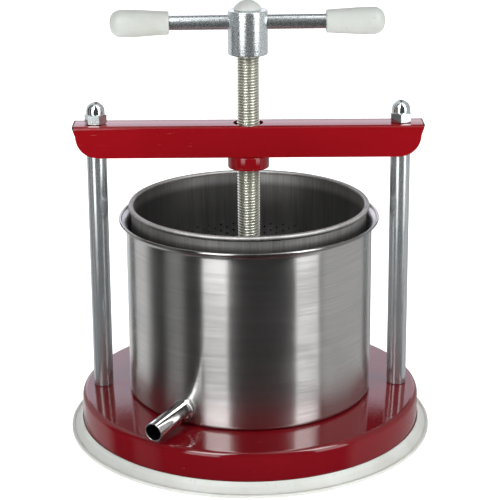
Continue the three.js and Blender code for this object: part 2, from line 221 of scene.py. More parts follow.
def carve(mesh, *cutters):
    """The mesh with the cutters taken out of it."""
    target = temporary(mesh)
    tools = [temporary(cutter) for cutter in cutters]
    for tool in tools:
        boolean = target.modifiers.new("carve", "BOOLEAN")
        boolean.operation = "DIFFERENCE"
        boolean.solver = "EXACT"
        boolean.object = tool
    graph = bpy.context.evaluated_depsgraph_get()
    result = bmesh.new()
    result.from_mesh(target.evaluated_get(graph).to_mesh())
    for thing in [target, *tools]:
        bpy.data.objects.remove(thing)
    return result


def peg(radius, bottom, top, segments=MEDIUM):
    return turned([(0, bottom), (radius, bottom), (radius, top), (0, top)], segments)


def piece(name, mesh, body, material, nodes, sharp=34, bevel=0.0):
    """Makes an object in metres from a mesh in millimetres. It rides on a body and stands for CAD nodes."""
    bmesh.ops.recalc_face_normals(mesh, faces=mesh.faces)
    data = bpy.data.meshes.new(name)
    mesh.to_mesh(data)
    mesh.free()
    data.transform(Matrix.Scale(0.001, 4))
    data.polygons.foreach_set("use_smooth", [True] * len(data.polygons))
    data.set_sharp_from_angle(angle=math.radians(sharp))
    data.materials.append(material)
    made = bpy.data.objects.new(name, data)
    bpy.context.scene.collection.objects.link(made)
    if bevel:
        edges = made.modifiers.new("edges", "BEVEL")
        edges.width = bevel * 0.001
        edges.segments = 2
        edges.limit_method = "ANGLE"
        edges.angle_limit = math.radians(40)
        edges.harden_normals = True
    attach(made, body)
    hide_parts(*nodes)
    return made


# ---- node helpers ----
def new_material(name, **values):
    """A material with one principled shader, whose sockets are set directly."""
    material = bpy.data.materials.new(name)
    material.use_nodes = True
    tree = material.node_tree
    shader = tree.nodes["Principled BSDF"]
    for socket, value in values.items():
        shader.inputs[socket.replace("_", " ")].default_value = value
    return material, tree, shader


def node(tree, kind, inputs=None, **settings):
    made = tree.nodes.new(kind)
    for name, value in settings.items():
        setattr(made, name, value)
    for name, value in (inputs or {}).items():
        if isinstance(value, bpy.types.NodeSocket):
            tree.links.new(value, made.inputs[name])
        else:
            made.inputs[name].default_value = value
    return made


def place(tree, x=1.0, y=1.0, z=1.0):
    """The spot on the piece in metres, stretched along its axes."""
    spot = node(tree, "ShaderNodeTexCoord").outputs["Object"]
    return node(tree, "ShaderNodeMapping", {"Vector": spot, "Scale": (x, y, z)}).outputs["Vector"]


def noise(tree, vector, scale, detail=3.0, roughness=0.5):
    values = {"Vector": vector, "Scale": scale, "Detail": detail, "Roughness": roughness}
    return node(tree, "ShaderNodeTexNoise", values).outputs["Fac"]


def remap(tree, value, low, high, to_low=0.0, to_high=1.0):
    """The value's range from low to high, spread over another range and held at its ends."""
    values = {"Value": value, "From Min": low, "From Max": high, "To Min": to_low, "To Max": to_high}
    return node(tree, "ShaderNodeMapRange", values, interpolation_type="SMOOTHSTEP").outputs["Result"]


def combine(tree, operation, first, second):
    return node(tree, "ShaderNodeMath", {0: first, 1: second}, operation=operation).outputs["Value"]


def mix(tree, factor, first, second):
    values = {"Fac": factor, "Color1": first, "Color2": second}
    return node(tree, "ShaderNodeMixRGB", values).outputs["Color"]


def scaled(tree, colour, amount):
    values = {0: colour, "Scale": amount}
    return node(tree, "ShaderNodeVectorMath", values, operation="SCALE").outputs["Vector"]


def bump(tree, height, strength, distance):
    values = {"Height": height, "Strength": strength, "Distance": distance}
    return node(tree, "ShaderNodeBump", values).outputs["Normal"]


def join(tree, shader, **sockets):
    for name, output in sockets.items():
        tree.links.new(output, shader.inputs[name.replace("_", " ")])


def grey(level, tint=(1.0, 1.0, 1.0)):
    return (level * tint[0], level * tint[1], level * tint[2], 1.0)


def radius_about_z(tree):
    """How far the spot is from the piece's Z axis, in metres."""
    flat = node(tree, "ShaderNodeVectorMath", {0: place(tree), 1: (1.0, 1.0, 0.0)}, operation="MULTIPLY")
    values = {0: flat.outputs["Vector"]}
    return node(tree, "ShaderNodeVectorMath", values, operation="LENGTH").outputs["Value"]


def scratches(tree, stretch, scale, share):
    """Thin broken lines, 1 on a line, from noise that is stretched along one direction."""
    lines = noise(tree, place(tree, *stretch), scale, 2.0, 0.6)
    broken = noise(tree, place(tree), 45.0, 2.0)
    line = remap(tree, lines, share, share + 0.02)
    return combine(tree, "MULTIPLY", line, remap(tree, broken, 0.5, 0.62))


# ---- materials ----
def red_paint(name, tone, chipped_beyond=None):
    """Glossy crimson enamel with orange peel, dust and fine scratches, chipped past a distance along X."""
    material, tree, shader = new_material(name, IOR=1.5, Coat_Weight=1.0, Coat_Roughness=0.02, Coat_IOR=1.5)
    shader.inputs["Specular IOR Level"].default_value = 0.0
    mottle = noise(tree, place(tree), 18.0, 3.0)
    thin, thick = (0.35 * tone, 0.003, 0.0065, 1), (0.42 * tone, 0.0045, 0.0095, 1)
    colour = mix(tree, mottle, thin, thick)
    hairline = scratches(tree, (6, 40, 40), 9.0, 0.7)
    colour = mix(tree, combine(tree, "MULTIPLY", hairline, 0.2), colour, (0.55, 0.2, 0.2, 1))
    dust = remap(tree, noise(tree, place(tree), 900.0, 2.0), 0.74, 0.78, 0.0, 0.2)
    colour = mix(tree, dust, colour, (0.5, 0.3, 0.3, 1))
    rough = remap(tree, noise(tree, place(tree), 60.0, 4.0), 0.3, 0.7, 0.4, 0.55)
    wave = noise(tree, place(tree), 60.0, 1.0)
    peel = combine(tree, "ADD", noise(tree, place(tree), 420.0, 2.0), combine(tree, "MULTIPLY", wave, 0.8))
    peel_normal = bump(tree, peel, 0.05, 0.0006)
    join(tree, shader, Roughness=rough, Normal=peel_normal, Coat_Normal=peel_normal)
    if chipped_beyond:
        chips = chip_mask(tree, chipped_beyond)
        colour = mix(tree, chips, colour, (0.075, 0.045, 0.033, 1))
        join(tree, shader, Coat_Weight=remap(tree, chips, 0.0, 1.0, 1.0, 0.1))
    join(tree, shader, Base_Color=colour)
    return material


def chip_mask(tree, distance):
    """1 where paint is rubbed off, at ragged patches past a distance along X."""
    along = node(tree, "ShaderNodeSeparateXYZ", {"Vector": place(tree)}).outputs["X"]
    away = combine(tree, "ABSOLUTE", along, 0.0)
    ragged = combine(tree, "MULTIPLY", noise(tree, place(tree), 260.0, 4.0), 0.006)
    return remap(tree, combine(tree, "ADD", away, ragged), distance, distance + 0.0006)


def zinc_steel():
    """Bright zinc plating on drawn steel: bluish and a little hazy, with faint lines along the piece."""
    material, tree, shader = new_material("zinc_steel", Metallic=0.8)
    speckle = noise(tree, place(tree), 1300.0, 2.0, 0.7)
    cloud = noise(tree, place(tree), 40.0, 3.0)
    dark, light = grey(0.6, (0.94, 1.0, 1.04)), grey(0.64, (0.95, 1.0, 1.03))
    colour = mix(tree, remap(tree, speckle, 0.3, 0.7), dark, light)
    colour = mix(tree, remap(tree, cloud, 0.4, 0.7, 0.0, 0.3), colour, grey(0.54, (1.02, 1.0, 0.97)))
    lines = noise(tree, place(tree, 1, 1, 0.02), 700.0, 2.0)
    waves = noise(tree, place(tree, 1, 1, 0.3), 70.0, 2.0)
    rough = remap(tree, cloud, 0.3, 0.7, 0.19, 0.27)
    relief = combine(tree, "ADD", combine(tree, "MULTIPLY", waves, 6.0), lines)
    join(tree, shader, Base_Color=colour, Roughness=rough, Normal=bump(tree, relief, 0.06, 0.0003))
    return material


def turned_zinc(name, level, smoothest, relief, metal=0.82):
    """The same plating on a turned part, with fine tool marks round it and a sparkle of crystals."""
    material, tree, shader = new_material(name, Metallic=metal, Anisotropic=0.4, Anisotropic_Rotation=0.25)
    speckle = noise(tree, place(tree), 1000.0, 2.0, 0.7)
    marks = noise(tree, place(tree, 0.02, 0.02, 1), 1600.0, 2.0)
    stain = noise(tree, place(tree), 70.0, 4.0)
    dark, light = grey(level * 0.85, (0.93, 1.0, 1.03)), grey(level, (0.94, 1.0, 1.02))
    colour = mix(tree, remap(tree, speckle, 0.35, 0.65), dark, light)
    colour = mix(tree, remap(tree, stain, 0.5, 0.7, 0.0, 0.3), colour, grey(level * 0.75, (1.0, 1.0, 0.95)))
    rough = remap(tree, speckle, 0.3, 0.7, smoothest, smoothest + 0.08)
    height = combine(tree, "ADD", speckle, marks)
    join(tree, shader, Base_Color=colour, Roughness=rough, Normal=bump(tree, height, relief, 0.0002))
    return material


def screw_steel():
    """Rolled thread: bright, faintly yellow crests over grooves that are drawn darker."""
    material, tree, shader = new_material("screw_steel", Metallic=0.85)
    depth = remap(tree, radius_about_z(tree), 0.0086, 0.0097)
    stain = noise(tree, place(tree), 110.0, 4.0)
    crest = mix(tree, stain, (0.86, 0.88, 0.78, 1), (0.95, 0.96, 0.87, 1))
    colour = mix(tree, depth, (0.36, 0.36, 0.30, 1), crest)
    rough = remap(tree, depth, 0.0, 1.0, 0.42, 0.26)
    fine = noise(tree, place(tree), 1500.0, 2.0)
    join(tree, shader, Base_Color=colour, Roughness=rough, Normal=bump(tree, fine, 0.15, 0.0002))
    return material


def brushed_steel(name, stretch, level, contrast, anisotropy, rotation, rough_range, relief, painted_shade=None):
    """Stainless sheet with brush lines along the axis where the stretch is small.

    The last argument paints shade into the colour: it gives two heights in metres and the share of the
    brightness at each.
    """
    brushing = {"Anisotropic": anisotropy, "Anisotropic_Rotation": rotation}
    material, tree, shader = new_material(name, Metallic=1.0, **brushing)
    broad = noise(tree, place(tree, *stretch), 60.0, 3.0, 0.6)
    hair = noise(tree, place(tree, *stretch), 700.0, 3.0, 0.7)
    smear = noise(tree, place(tree), 22.0, 3.0)
    streak = combine(tree, "ADD", combine(tree, "MULTIPLY", broad, 0.4), combine(tree, "MULTIPLY", hair, 0.6))
    dark = grey(level * (1 - contrast), (1.0, 0.99, 0.975))
    light = grey(level * (1 + contrast), (1.0, 0.99, 0.98))
    colour = mix(tree, remap(tree, streak, 0.36, 0.64), dark, light)
    colour = mix(tree, remap(tree, smear, 0.55, 0.75, 0.0, 0.25), colour, grey(level * 0.85))
    if painted_shade:
        # painted shade: the colour is scaled darker between the two heights
        height = node(tree, "ShaderNodeSeparateXYZ", {"Vector": place(tree)}).outputs["Z"]
        colour = scaled(tree, colour, remap(tree, height, *painted_shade))
    even = remap(tree, hair, 0.3, 0.7, *rough_range)
    rough = combine(tree, "ADD", even, remap(tree, smear, 0.4, 0.7, 0.0, 0.04))
    join(tree, shader, Base_Color=colour, Roughness=rough, Normal=bump(tree, streak, relief, 0.00012))
    return material


def polished_steel():
    """Polished tube with light handling marks."""
    material, tree, shader = new_material("polished_steel", Metallic=1.0)
    marks = noise(tree, place(tree), 320.0, 4.0)
    film = noise(tree, place(tree), 60.0, 3.0)
    colour = mix(tree, film, grey(0.62, (1.0, 0.99, 0.97)), grey(0.76, (1.0, 0.99, 0.98)))
    rough = remap(tree, marks, 0.4, 0.75, 0.08, 0.2)
    join(tree, shader, Base_Color=colour, Roughness=rough, Normal=bump(tree, marks, 0.05, 0.0002))
    return material


def white_plastic(name, clean, worn, roughness):
    """Moulded plastic with a soft grain, slight yellowing and small scuffs."""
    material, tree, shader = new_material(name, IOR=1.46)
    shader.inputs["Subsurface Weight"].default_value = 0.06
    shader.inputs["Subsurface Scale"].default_value = 0.004
    cloud = noise(tree, place(tree), 35.0, 4.0)
    colour = mix(tree, remap(tree, cloud, 0.4, 0.75), clean, worn)
    scuff = scratches(tree, (20, 1, 8), 30.0, 0.64)
    colour = mix(tree, combine(tree, "MULTIPLY", scuff, 0.3), colour, (0.42, 0.41, 0.37, 1))
    grain = noise(tree, place(tree), 1100.0, 2.0)
    rough = combine(tree, "ADD", remap(tree, grain, 0.3, 0.7, -0.04, 0.05), roughness)
    join(tree, shader, Base_Color=colour, Roughness=rough, Normal=bump(tree, grain, 0.12, 0.0002))
    return material


# the same enamel twice: the pan's copy is set darker than the beam's as painted shade
PAN_RED = red_paint("pan_red_paint", 0.44)
BEAM_RED = red_paint("beam_red_paint", 0.72, 0.1532)
ZINC = zinc_steel()
TURNED_ZINC = turned_zinc("turned_zinc", 0.92, 0.21, 0.45, 0.9)
BAR_ZINC = turned_zinc("bar_zinc", 0.86, 0.24, 0.06, 0.97)
NUT_ZINC = turned_zinc("nut_zinc", 0.85, 0.06, 0.08, 0.97)
SCREW = screw_steel()
# heights in metres, where painted shade darkens the steel to come near the photograph's brightness
LIP_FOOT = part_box("pot_shell")[1].z - 0.006
SHADE_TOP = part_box("basket")[1].z - 0.008
# painted shade on the pot's flare: half as bright above the lip's foot
POT_PAINTED_SHADE = (LIP_FOOT, LIP_FOOT + 0.002, 1.0, 0.5)
# painted shade on the basket's inside: down to 0.42 of its brightness below the top band
BASKET_PAINTED_SHADE = (SHADE_TOP - 0.008, SHADE_TOP, 0.42, 1.0)
POT_STEEL = brushed_steel("pot_steel", (0.02, 0.02, 1), 0.66, 0.06, 1.0, 0.25, (0.2, 0.22), 0.03, POT_PAINTED_SHADE)
BASKET_STEEL = brushed_steel(
    "basket_steel", (1, 1, 0.02), 0.42, 0.2, 0.6, 0.0, (0.42, 0.54), 0.15, BASKET_PAINTED_SHADE
)
PLATE_STEEL = brushed_steel("plate_steel", (1, 1, 1), 0.5, 0.08, 0.0, 0.0, (0.26, 0.36), 0.08)
POLISHED = polished_steel()
GRIP_PLASTIC = white_plastic("grip_plastic", (0.60, 0.63, 0.60, 1), (0.54, 0.56, 0.51, 1), 0.34)
FOOT_PLASTIC = white_plastic("foot_plastic", (0.70, 0.725, 0.69, 1), (0.63, 0.64, 0.59, 1), 0.4)


# ---- base ----
def painted_pan():
    low, high = extent("base_pan")
    radius, top = high.x, high.z
    centre = (radius - PAN_EDGE_RADIUS, top - PAN_EDGE_RADIUS)
    inner = radius - PAN_SHEET
    hem = low.z + 6
    skirt = softened([(inner, hem), (inner, low.z), (radius, low.z), (radius, hem)], 0.7)
    rings = [
        (0, top - PAN_SHEET),
        *arc(centre, PAN_EDGE_RADIUS - PAN_SHEET, 90, 0, 6),
        *skirt,
        *arc(centre, PAN_EDGE_RADIUS, 0, 90, 12),
        (0, top),
    ]
    holes = [moved(peg(STUD_HOLE, top - 5, top + 1, 48), at(x, 0)) for x in column_places()]
    mesh = carve(turned(rings, FINE), *holes)
    piece("painted_pan", mesh, "frame", PAN_RED, ["base_pan"])


def column_places():
    low, high = extent("column_left")
    return [(low.x + high.x) / 2, -(low.x + high.x) / 2]


def foot_trim():
    """The white plastic section that is pushed onto the pan's skirt."""
    high = extent("foot_ring")[1]
    pan_low, pan_high = extent("base_pan")
    outer, top = high.x, high.z
    inner = outer - FOOT_RING_WIDTH
    slot_outer = pan_high.x + FIT_GAP
    slot_inner = pan_high.x - PAN_SHEET - FIT_GAP
    slot_bottom = pan_low.z - FIT_GAP
    outline = [
        (inner, 0), (outer, 0), (outer, 3.2), (outer - 2.4, 3.2), (outer - 3.0, 2.6), (outer - 3.6, 3.4),
        (outer - 7.2, top - 3.6), (slot_outer + 0.9, top), (slot_outer, top), (slot_outer, slot_bottom),
        (slot_inner, slot_bottom), (slot_inner, top - 1), (inner, top - 1),
    ]
    mesh = turned(softened(outline, 0.8, 4, closed=True), FINE, closed=True)
    piece("foot_trim", mesh, "frame", FOOT_PLASTIC, ["foot_ring"])


# ---- columns and their fasteners ----
def column_post(side):
    node_name = f"column_{side}"
    low, high = extent(node_name)
    x = (low.x + high.x) / 2
    radius = high.x - x
    shoulder_low = extent("base_pan")[1].z + FIT_GAP
    shoulder_high = extent("crossbeam")[1].z - BEAM_SHEET - FIT_GAP
    mesh = bmesh.new()
    core = thread(mesh, STUD_RADIUS, STUD_PITCH, low.z, shoulder_low)
    thread(mesh, STUD_RADIUS, STUD_PITCH, shoulder_high, high.z)
    body = [(core, shoulder_low), (radius, shoulder_low), (radius, shoulder_high), (core, shoulder_high)]
    revolve(mesh, softened(body, 0.5), THREAD_SEGMENTS)
    revolve(mesh, [(0, low.z), (core, low.z)], THREAD_SEGMENTS)
    revolve(mesh, [(core, high.z), (0, high.z)], THREAD_SEGMENTS)
    moved(weld(mesh), at(x, 0))
    piece(f"column_post_{side}", mesh, "frame", ZINC, [node_name], sharp=50)


def hexagon_ring(across_flats, height, chamfer_from=None, way=0):
    """A hexagonal ring, chamfered from a circle outwards. The way is 1 at a top edge and -1 at a bottom."""
    def ring(angle):
        radius = across_flats / 2 / math.cos((angle % (math.pi / 3)) - math.pi / 6)
        drop = 0.0
        if chamfer_from is not None:
            drop = max(0.0, radius - chamfer_from) * math.tan(math.radians(30)) * way
        return radius, height - drop
    return ring


def stud_nut(side):
    node_name = f"pan_nut_{side}"
    low, high = extent(node_name)
    x, flats = (low.x + high.x) / 2, M10_ACROSS_FLATS
    circle = flats / 2 * 0.95
    rings = [
        (STUD_HOLE, low.z), (circle, low.z), hexagon_ring(flats, low.z, circle, -1),
        hexagon_ring(flats, high.z, circle, 1), (circle, high.z), (STUD_HOLE, high.z),
    ]
    mesh = moved(turned(rings, HEX_SEGMENTS, closed=True), at(x, 0))
    piece(f"stud_nut_{side}", mesh, "frame", TURNED_ZINC, [node_name], sharp=20)


def stud_washer(side):
    node_name = f"pan_washer_{side}"
    low, high = extent(node_name)
    x = (low.x + high.x) / 2
    outline = [(STUD_HOLE, low.z), (high.x - x, low.z), (high.x - x, high.z), (STUD_HOLE, high.z)]
    mesh = moved(turned(softened(outline, 0.3, 3, closed=True), MEDIUM, closed=True), at(x, 0))
    piece(f"stud_washer_{side}", mesh, "frame", TURNED_ZINC, [node_name])


def cap_nut(side):
    """A domed hexagon nut on the stud above the crossbeam."""
    node_name = f"acorn_nut_{side}"
    low, high = extent(node_name)
    x, flats = (low.x + high.x) / 2, M10_ACROSS_FLATS
    circle = flats / 2 * 0.96
    hex_top = low.z + CAP_NUT_HEXAGON
    dome = CAP_NUT_DOME
    dome_centre = high.z - dome
    bore_top = extent(f"column_{side}")[1].z + FIT_GAP
    rings = [
        (0, bore_top), (STUD_HOLE, bore_top), (STUD_HOLE, low.z), (circle, low.z),
        hexagon_ring(flats, low.z, circle, -1), hexagon_ring(flats, hex_top, circle, 1),
        (circle, hex_top), (dome + 0.15, hex_top), (dome, hex_top + 0.2),
        *arc((0, dome_centre), dome, 0, 86, 12), (0, high.z),
    ]
    mesh = moved(turned(rings, HEX_SEGMENTS), at(x, 0) @ Matrix.Rotation(CAP_NUT_TURNS[side], 4, "Z"))
    piece(f"cap_nut_{side}", mesh, "frame", NUT_ZINC, [node_name], sharp=20)


# ---- crossbeam and its nut ----
def beam_section(low, high):
    """The folded channel's outline across the beam, with enough points for the cut ends."""
    half, top, bottom = high.y, high.z, low.z
    bend = (half - BEAM_BEND_RADIUS, top - BEAM_BEND_RADIUS)
    flange = [bottom + (bend[1] - bottom) * (i / 18) for i in range(18)]
    outer = [(half, z) for z in flange] + arc(bend, BEAM_BEND_RADIUS, 0, 90, 6)
    inner = [(half - BEAM_SHEET, z) for z in flange] + arc(bend, BEAM_BEND_RADIUS - BEAM_SHEET, 0, 90, 6)
    outer += [(-y, z) for y, z in reversed(outer)]
    inner += [(-y, z) for y, z in reversed(inner)]
    return outer + inner[::-1]


def beam_end(low, high, z):
    """How far the beam reaches along X at one height: a sheared end with a large lower corner."""
    corner_x = high.x - BEAM_END_SLOPE - BEAM_CORNER_RADIUS
    corner_z = low.z + BEAM_CORNER_RADIUS
    if z < corner_z:
        return corner_x + math.sqrt(max(0.0, BEAM_CORNER_RADIUS ** 2 - (corner_z - z) ** 2))
    return high.x - BEAM_END_SLOPE * (high.z - z) / (high.z - corner_z)


def painted_crossbeam():
    low, high = extent("crossbeam")
    section = beam_section(low, high)
    shares = [-1 + 2 * i / 24 for i in range(25)]
    mesh = bmesh.new()
    rows = []
    for share in shares:
        rows.append([mesh.verts.new((share * beam_end(low, high, z), y, z)) for y, z in section])
    count = len(section)
    for left, right in zip(rows, rows[1:]):
        for i in range(count):
            mesh.faces.new([left[i], right[i], right[(i + 1) % count], left[(i + 1) % count]])
    half = count // 2
    for row in (rows[0], rows[-1]):
        for i in range(half - 1):
            mesh.faces.new([row[i], row[i + 1], row[count - 2 - i], row[count - 1 - i]])
    holes = [moved(peg(STUD_HOLE, high.z - 6, high.z + 1, 48), at(x, 0)) for x in column_places()]
    holes.append(peg(BEAM_SCREW_HOLE, high.z - 6, high.z + 1))
    mesh = carve(mesh, *holes)
    piece("painted_crossbeam", mesh, "frame", BEAM_RED, ["crossbeam"], sharp=40, bevel=0.45)


def threaded_nut():
    """The steel nut under the crossbeam, painted with it."""
    low, high = extent("beam_nut")
    flange_top = extent("crossbeam")[0].z - FIT_GAP
    neck = 11.9
    outline = [
        (SCREW_BORE, low.z), (high.x, low.z), (high.x, flange_top),
        (neck, flange_top), (neck, high.z), (SCREW_BORE, high.z),
    ]
    mesh = turned(softened(outline, 0.9, 4, closed=True), MEDIUM, closed=True)
    piece("threaded_nut", mesh, "frame", BEAM_RED, ["beam_nut"])


# ---- screw, head and handle ----
def threaded_screw():
    low, high = extent("spindle")
    radius = high.x
    thread_start = extent("plate_hub")[1].z - 1
    groove, neck = SPINDLE_GROOVE, radius - 0.2
    groove_foot, groove_top = low.z + 2.5, low.z + 8.9
    mesh = bmesh.new()
    core = thread(mesh, radius, SCREW_PITCH, thread_start, high.z)
    journal = [
        (0, low.z), (neck, low.z), (neck, groove_foot), (groove, groove_foot), (groove, groove_top),
        (neck, groove_top), (neck, thread_start), (core, thread_start),
    ]
    revolve(mesh, softened(journal, 0.4), THREAD_SEGMENTS)
    revolve(mesh, [(core, high.z), (0, high.z)], THREAD_SEGMENTS)
    piece("threaded_screw", weld(mesh), "screw", SCREW, ["spindle"], sharp=70)


def bar_centre():
    low, high = extent("t_bar")
    return (low + high) / 2


def along_bar():
    """Turns a piece about Z to lie along the handle."""
    lie = Matrix.Rotation(BAR_YAW, 4, "Z") @ Matrix.Rotation(math.pi / 2, 4, "Y")
    return Matrix.Translation(bar_centre()) @ lie


def screw_head():
    low, high = extent("head_boss")
    radius = high.x
    spindle_top = extent("spindle")[1].z
    bar_radius = (extent("t_bar")[1].z - extent("t_bar")[0].z) / 2
    outline = [(0, low.z), (radius, low.z), (radius, high.z), (0, high.z)]
    body = turned(softened(outline, 1.0, 4), MEDIUM)
    bar_bore = moved(peg(bar_radius + FIT_GAP, -radius - 2, radius + 2), along_bar())
    screw_bore = peg(SCREW_BORE, low.z - 1, spindle_top + FIT_GAP)
    grub_bore = peg(HEAD_GRUB_BORE, bar_centre().z + 2, high.z + 1, 48)
    mesh = carve(body, screw_bore, bar_bore, grub_bore)
    piece("screw_head", mesh, "screw", TURNED_ZINC, ["head_boss"], bevel=0.35)


def head_button():
    """The white plug that covers the hole in the head."""
    low, high = extent("head_cap")
    radius, edge = high.x, 1.5
    rise = high.z - low.z - edge
    sphere = (radius ** 2 + rise ** 2) / (2 * rise)
    start = math.degrees(math.acos(radius / sphere))
    dome = arc((0, high.z - sphere), sphere, start, 88, 16)
    rings = softened([(0, low.z), (radius, low.z), *dome[:1]], 0.4) + dome[1:] + [(0, high.z)]
    piece("head_button", turned(rings, MEDIUM), "screw", GRIP_PLASTIC, ["head_cap"])


def socket_screw(radius, bottom, top, key):
    """A headless screw with a hexagon socket in its top."""
    mesh = bmesh.new()
    core = thread(mesh, radius, radius / 4, bottom, top)
    revolve(mesh, [(0, bottom), (core, bottom)], THREAD_SEGMENTS)
    revolve(mesh, [(core, top), (0, top)], THREAD_SEGMENTS)
    floor, above = top - 2, top + 1
    socket = [(0, floor), hexagon_ring(key, floor), hexagon_ring(key, above), (0, above)]
    return carve(weld(mesh), turned(socket, HEX_SEGMENTS))


def bar_screw():
    low, high = extent("bar_grub_screw")
    mesh = socket_screw(high.x, low.z, high.z, 4)
    piece("bar_screw", mesh, "screw", TURNED_ZINC, ["bar_grub_screw"], sharp=50)


def handle_bar():
    low, high = extent("t_bar")
    radius = (high.z - low.z) / 2
    half = (high.x - low.x) / 2 / math.cos(BAR_YAW) - radius * math.tan(BAR_YAW)
    outline = softened([(0, -half), (radius, -half), (radius, half), (0, half)], 1.0, 4)
    mesh = moved(turned(outline, MEDIUM), along_bar())
    piece("handle_bar", mesh, "screw", BAR_ZINC, ["t_bar"])


def handle_grip(side, turn):
    """A tapered plastic grip with a bored mouth, a soft swell towards its end and a fine mould line."""
    low, high = extent(f"grip_{side}")
    reach = max(abs(low.x), abs(high.x)) / math.cos(BAR_YAW)
    start = min(abs(low.x), abs(high.x)) / math.cos(BAR_YAW)
    outer = (high.z - low.z) / 2
    bar_low, bar_high = extent("t_bar")
    bore = (bar_high.z - bar_low.z) / 2 + FIT_GAP
    bar_end = (bar_high.x - bar_low.x) / 2 / math.cos(BAR_YAW) + FIT_GAP
    inner_end = outer - 1.9
    start += 0.35
    swell_start, dome_start = start + 6, reach - 10
    swell_foot = inner_end + 0.25
    taper = outer - inner_end - 0.25
    mouth = [(0, bar_end), (bore, bar_end), (bore, start), (inner_end, start), (swell_foot, swell_start)]
    mouth = softened(mouth, 1.1, 5)
    swell = []
    for step in range(1, 13):
        share = step / 12
        across = swell_foot + taper * math.sin(share * math.pi / 2)
        swell.append((across, swell_start + (dome_start - swell_start) * share))
    dome = []
    for step in range(1, 18):
        angle = math.radians(5 * step)
        dome.append((outer * math.cos(angle) ** 0.8, dome_start + (reach - dome_start) * math.sin(angle)))
    rings = mouth[:-1] + swell + dome + [(0, reach)]
    mesh = turned(rings, MEDIUM)
    mould_line(mesh, outer)
    moved(mesh, along_bar() @ Matrix.Rotation(turn, 4, "X"))
    piece(f"handle_grip_{side}", mesh, "screw", GRIP_PLASTIC, [f"grip_{side}"])


def mould_line(mesh, outer):
    """Raises a fine line along two sides of a grip, kept inside the grip's own size."""
    for vertex in mesh.verts:
        across = math.hypot(vertex.co.x, vertex.co.y)
        if across < outer * 0.75:
            continue
        on_line = abs(vertex.co.y) < 0.2
        share = 1.0 if on_line else 0.992
        vertex.co.x *= share
        vertex.co.y *= share


# ---- press plate ----
def pressing_plate():
    low, high = extent("press_plate")
    radius = high.x
    sunk = high.z - 0.5
    outline = [
        (0, low.z), (radius, low.z), (radius, high.z), (radius - 4, high.z), (radius - 4.6, sunk), (0, sunk),
    ]
    mesh = turned(softened(outline, 0.8, 4), FINE)
    piece("pressing_plate", mesh, "press_carriage", PLATE_STEEL, ["press_plate"])


def pressing_hub():
    low, high = extent("plate_hub")
    radius = high.x
    floor = extent("spindle")[0].z - FIT_GAP
    outline = [
        (0, low.z), (radius, low.z), (radius, high.z),
        (SCREW_BORE, high.z), (SCREW_BORE, floor), (0, floor),
    ]
    grub_low, grub_high = extent("hub_grub_screw")
    grub_z = (grub_low.z + grub_high.z) / 2
    hole = peg((grub_high.z - grub_low.z) / 2 + FIT_GAP, 2, radius + 2, 48)
    moved(hole, at(0, 0, grub_z) @ Matrix.Rotation(math.pi / 2, 4, "Y"))
    mesh = carve(turned(softened(outline, 0.8, 4), MEDIUM), hole)
    piece("pressing_hub", mesh, "press_carriage", TURNED_ZINC, ["plate_hub"], bevel=0.2)


def hub_screw():
    low, high = extent("hub_grub_screw")
    radius, z = (high.z - low.z) / 2, (low.z + high.z) / 2
    mesh = socket_screw(radius, low.x, high.x, 2.5)
    moved(mesh, at(0, 0, z) @ Matrix.Rotation(math.pi / 2, 4, "Y"))
    piece("hub_screw", mesh, "press_carriage", TURNED_ZINC, ["hub_grub_screw"], sharp=50)


# ---- pot and spout ----
def spout_frame():
    """Turns a piece about Z to lie along the spout, with its middle at the middle of the tube."""
    low, high = extent("spout_tube")
    centre = (low + high) / 2
    azimuth = math.atan2(-centre.x, -centre.y)
    lie = Matrix.Rotation(-azimuth, 4, "Z") @ Matrix.Rotation(math.pi / 2 + SPOUT_TILT, 4, "X")
    return Matrix.Translation(centre) @ lie


def juice_pot():
    low, high = extent("pot_shell")
    rim = high.x
    radius = rim - POT_LIP_REACH
    corner = (radius - POT_CORNER_RADIUS, low.z + POT_CORNER_RADIUS)
    lip = (rim - POT_LIP_RADIUS, high.z - POT_LIP_RADIUS)
    flare = (lip[0], high.z - POT_FLARE_HEIGHT)
    bend = lip[0] - radius
    rings = [
        (0, low.z),
        *arc(corner, POT_CORNER_RADIUS, 270, 360, 10),
        *arc(flare, bend, 180, 90, 12),
        *arc(lip, POT_LIP_RADIUS, -80, 200, 18),
        *arc(flare, bend + SHEET, 106, 180, 12),
        *arc(corner, POT_CORNER_RADIUS - SHEET, 360, 270, 10),
        (0, low.z + SHEET),
    ]
    hole = moved(peg(SPOUT_RADIUS + 0.05, -SPOUT_HALF_LENGTH - 6, -SPOUT_HALF_LENGTH + 12, 48), spout_frame())
    mesh = carve(turned(rings, FINE), hole)
    piece("juice_pot", mesh, "pot", POT_STEEL, ["pot_shell"])


def spout_pipe():
    """A thin tube with a softly rolled mouth."""
    half = SPOUT_HALF_LENGTH
    outline = [(SPOUT_BORE, -half), (SPOUT_RADIUS, -half), (SPOUT_RADIUS, half), (SPOUT_BORE, half)]
    mesh = moved(turned(softened(outline, 0.35, 4, closed=True), MEDIUM, closed=True), spout_frame())
    piece("spout_pipe", mesh, "pot", POLISHED, ["spout_tube"])


def spout_weld():
    """The small bead that joins the spout to the wall."""
    rings = arc((SPOUT_RADIUS + 0.55, -SPOUT_HALF_LENGTH + SPOUT_WELD_PLACE), 0.85, 0, 330, 11)
    mesh = moved(turned(rings, MEDIUM, closed=True), spout_frame())
    piece("spout_weld", mesh, "pot", POLISHED, ["spout_collar"])


